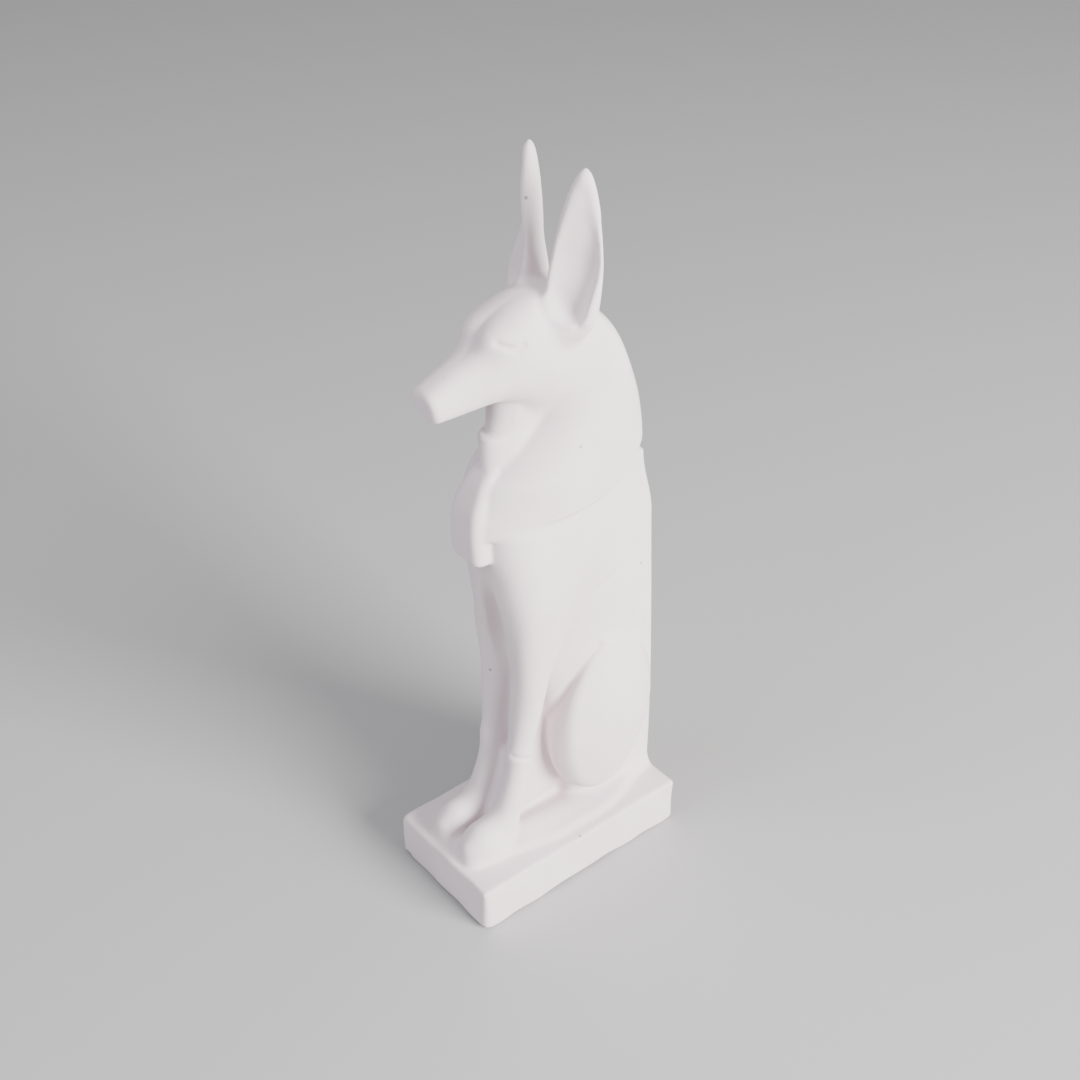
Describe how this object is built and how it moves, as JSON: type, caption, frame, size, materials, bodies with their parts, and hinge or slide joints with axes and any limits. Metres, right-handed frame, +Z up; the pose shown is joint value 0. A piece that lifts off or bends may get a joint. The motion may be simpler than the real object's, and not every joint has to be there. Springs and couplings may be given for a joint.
{
  "type": "anubis statue",
  "caption": "Seated Egyptian-style jackal statue with tall ears, long wig, back pillar and oblong plinth, cast whole in matte plaster; a shelf ornament that stands on its flat underside.",
  "frame": {"origin": "Middle of the plinth's flat underside, on the ground plane.", "axes": "+Z up, the jackal faces -Y with its back pillar at +Y, its left flank is at +X."},
  "size_m": [0.0504, 0.0898, 0.271],
  "materials": {
    "plaster": "matte unpainted cast plaster"
  },
  "bodies": {
    "root": {"statue": "plaster"}
  },
  "joints": []
}
